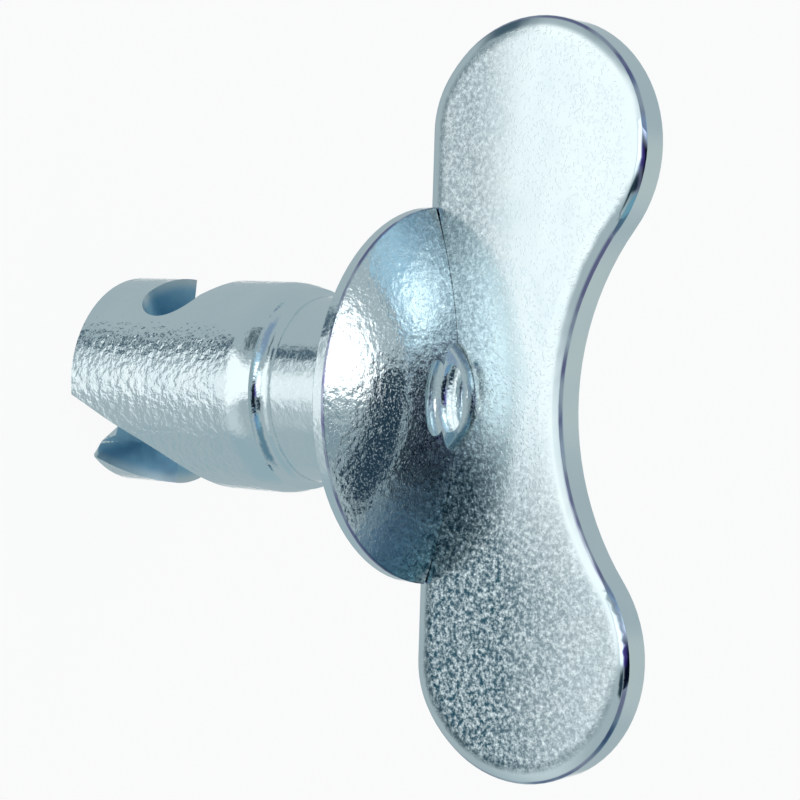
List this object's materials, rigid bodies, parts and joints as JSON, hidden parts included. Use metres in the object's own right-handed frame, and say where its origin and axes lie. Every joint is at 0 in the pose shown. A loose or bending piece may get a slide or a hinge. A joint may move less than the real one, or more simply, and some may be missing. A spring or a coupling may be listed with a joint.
{
  "type": "wing head stud",
  "caption": "Quarter-turn cam stud with a domed, flanged head and a stamped wing staked across it, for turning a panel fastener by hand.",
  "frame": {"origin": "centre of the ring face at the tip of the shank, on the stud's axis, which is the bottom centre of the part", "axes": "+Z along the stud's axis from the tip to the wing, X along the wing's length, Y square to the wing's faces"},
  "size_m": [0.032, 0.0162, 0.0279],
  "materials": {
    "stud_steel": "bright zinc plating over turned steel, faintly blue, clear passivated",
    "wing_steel": "bright zinc plating over stamped sheet steel, finely mottled"
  },
  "bodies": {
    "root": {"cam_stud": "stud_steel", "wing": "wing_steel"}
  },
  "joints": []
}
